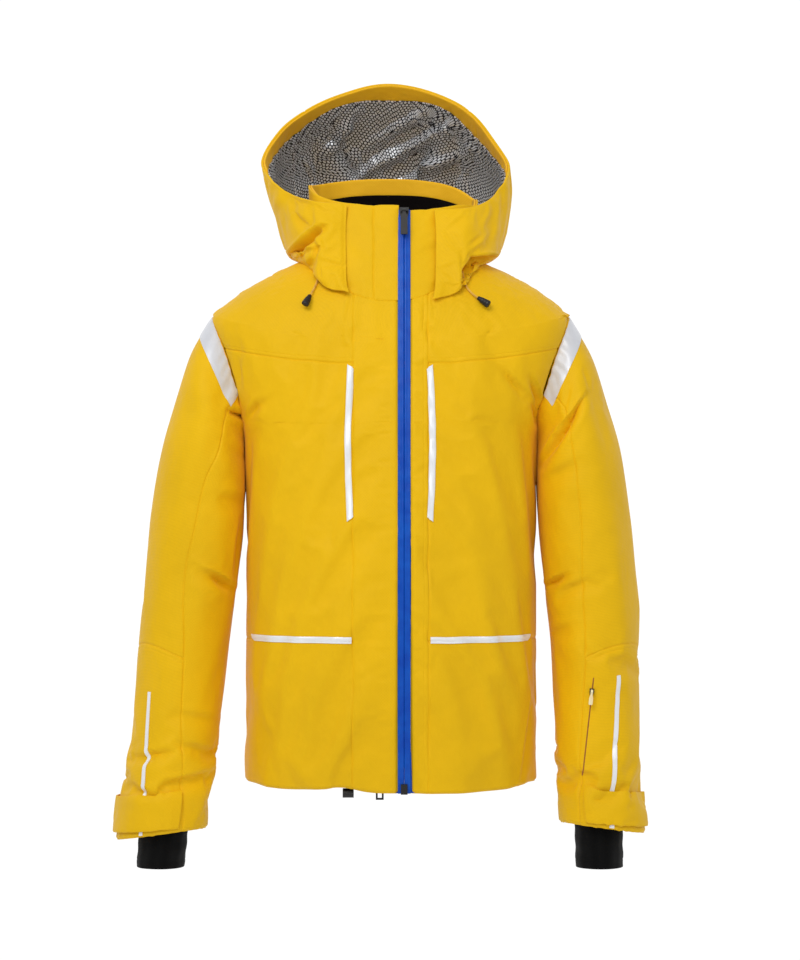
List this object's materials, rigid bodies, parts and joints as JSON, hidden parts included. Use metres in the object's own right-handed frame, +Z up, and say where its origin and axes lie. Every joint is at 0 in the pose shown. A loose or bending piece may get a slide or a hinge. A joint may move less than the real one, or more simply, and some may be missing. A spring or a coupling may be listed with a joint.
{
  "type": "ski jacket",
  "caption": "Insulated ski jacket with standing collar, hood, long front zip, chest and sleeve pockets, tabbed cuffs and wrist gaiters.",
  "frame": {"origin": "nape of the neck, at the middle of the hanger loop where the collar meets the back", "axes": "+Z up towards the hood, -Y out of the front of the jacket, +X towards the wearer's left"},
  "size_m": [0.6897, 0.4238, 1.0303],
  "materials": {
    "shell": "matte",
    "pocket_fabric": "matte",
    "hood_fabric": "matte",
    "reflective_tape": "satin",
    "zip_tape": "satin",
    "hardware": "satin",
    "pull_cord": "satin",
    "fleece": "matte",
    "stretch_black": "matte",
    "body_lining": "satin",
    "silver_lining": "satin",
    "drawcord": "matte"
  },
  "bodies": {
    "jacket": {"pocket_panel_right": "pocket_fabric", "pocket_panel_left": "pocket_fabric", "chest_panel_right": "shell", "chest_panel_left": "shell", "front_yoke_right": "shell", "front_yoke_left": "shell", "centre_strip_right": "shell", "centre_strip_left": "shell", "back_panel": "shell", "back_yoke": "shell", "body_lining": "body_lining", "powder_skirt": "stretch_black", "zip_tape_right": "zip_tape", "zip_tape_left": "zip_tape", "zip_retaining_box": "hardware", "chest_welt_right": "reflective_tape", "chest_welt_left": "reflective_tape", "pocket_welt_right": "reflective_tape", "pocket_welt_left": "reflective_tape", "collar_shell": "shell", "collar_facing": "shell", "collar_lining": "fleece", "hanger_loop": "stretch_black", "hood_neck_panel": "hood_fabric", "hood_front_left": "hood_fabric", "hood_front_right": "hood_fabric", "drawcord_right": "drawcord", "drawcord_left": "drawcord", "toggle_right": "hardware", "toggle_left": "hardware", "sleeve_cap_right": "shell", "sleeve_cap_left": "shell", "shoulder_stripe_right": "reflective_tape", "shoulder_stripe_left": "reflective_tape", "hem_cord_lock": "hardware", "hem_pull_loop": "hardware"},
    "hood": {"hood_crown_panel": "hood_fabric", "hood_side_panel_left": "hood_fabric", "hood_side_panel_right": "hood_fabric", "hood_lining": "silver_lining", "hood_brim": "hood_fabric"},
    "left_upper_arm": {"upper_sleeve_left": "shell", "elbow_panel_left": "shell"},
    "left_forearm": {"forearm_sleeve_left": "shell", "forearm_stripe_left": "reflective_tape", "hook_patch_left": "stretch_black", "gaiter_left": "stretch_black"},
    "left_cuff_tab": {"cuff_tab_left": "shell"},
    "right_upper_arm": {"upper_sleeve_right": "shell", "elbow_panel_right": "shell"},
    "right_forearm": {"forearm_sleeve_right": "shell", "forearm_stripe_right": "reflective_tape", "hook_patch_right": "stretch_black", "gaiter_right": "stretch_black"},
    "right_cuff_tab": {"cuff_tab_right": "shell"},
    "main_slider": {"zip_slider": "hardware"},
    "main_pull": {"zip_pull": "hardware"},
    "sleeve_slider": {"sleeve_zip_slider": "hardware"},
    "sleeve_pull": {"sleeve_zip_pull": "pull_cord"}
  },
  "joints": [
    {"name": "main_zip_run", "type": "hinge", "parent": "jacket", "child": "main_slider", "pos_m": [0.017, 1.363, -0.527], "axis": [1, 0, 0], "range_deg": [0, 26.12]},
    {"name": "main_pull_flip", "type": "hinge", "parent": "main_slider", "child": "main_pull", "pos_m": [0.017, -0.14352, 0.0352], "axis": [-1, 0, 0], "range_deg": [0, 150]},
    {"name": "hood_tilt", "type": "hinge", "parent": "jacket", "child": "hood", "pos_m": [0, -0.04, 0], "axis": [-1, 0, 0], "range_deg": [-25, 30], "deforming": ["hood_neck_panel", "hood_front_left", "hood_front_right"]},
    {"name": "left_shoulder", "type": "hinge", "parent": "jacket", "child": "left_upper_arm", "pos_m": [0.207, -0.084, -0.168], "axis": [0, -1, 0], "range_deg": [0, 70], "deforming": ["sleeve_cap_left", "shoulder_stripe_left"]},
    {"name": "left_elbow", "type": "hinge", "parent": "left_upper_arm", "child": "left_forearm", "pos_m": [0.264, -0.092, -0.48], "axis": [-1, 0, 0], "range_deg": [0, 75], "deforming": ["elbow_panel_left"]},
    {"name": "left_cuff_tab_open", "type": "hinge", "parent": "left_forearm", "child": "left_cuff_tab", "pos_m": [0.2486, -0.18436, -0.72362], "axis": [0, 0, -1], "range_deg": [0, 70]},
    {"name": "right_shoulder", "type": "hinge", "parent": "jacket", "child": "right_upper_arm", "pos_m": [-0.207, -0.084, -0.168], "axis": [0, 1, 0], "range_deg": [0, 70], "deforming": ["sleeve_cap_right", "shoulder_stripe_right"]},
    {"name": "right_elbow", "type": "hinge", "parent": "right_upper_arm", "child": "right_forearm", "pos_m": [-0.264, -0.092, -0.48], "axis": [-1, 0, 0], "range_deg": [0, 75], "deforming": ["elbow_panel_right"]},
    {"name": "right_cuff_tab_open", "type": "hinge", "parent": "right_forearm", "child": "right_cuff_tab", "pos_m": [-0.26765, -0.1844, -0.73078], "axis": [0, 0, 1], "range_deg": [0, 70]},
    {"name": "sleeve_zip_run", "type": "slide", "parent": "left_forearm", "child": "sleeve_slider", "axis": [-0.1084, -0.0653, -0.992], "range_m": [0, 0.078]},
    {"name": "sleeve_pull_flip", "type": "hinge", "parent": "sleeve_slider", "child": "sleeve_pull", "pos_m": [0.25679, -0.17465, -0.58239], "axis": [-0.9941, 0.0036, 0.1084], "range_deg": [0, 150]}
  ]
}
